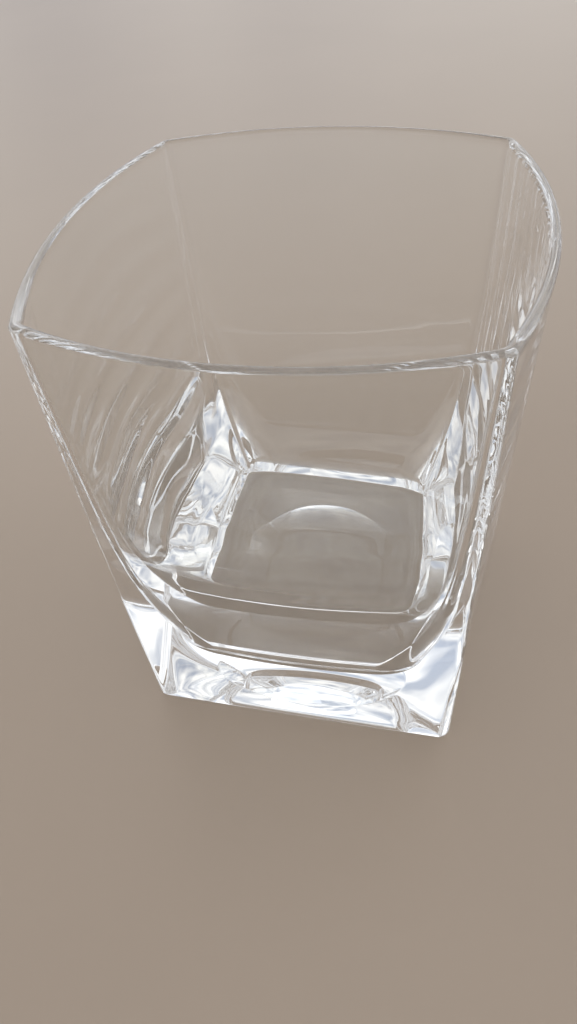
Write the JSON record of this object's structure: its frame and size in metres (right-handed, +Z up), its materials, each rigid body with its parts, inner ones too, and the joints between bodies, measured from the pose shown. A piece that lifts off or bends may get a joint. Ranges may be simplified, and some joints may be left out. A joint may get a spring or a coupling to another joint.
{
  "type": "whiskey tumbler",
  "caption": "Clear glass tumbler with a flat-sided square foot, thick base and sides that bow outward up to a thin rounded rim.",
  "frame": {"origin": "centre of the square foot, on the plane the glass stands on", "axes": "+Z up through the rim; the four sides face +X, -X, +Y and -Y"},
  "size_m": [0.0754, 0.0754, 0.095],
  "materials": {
    "glass": "clear, fire-polished"
  },
  "bodies": {
    "root": {"tumbler_glass": "glass"}
  },
  "joints": []
}
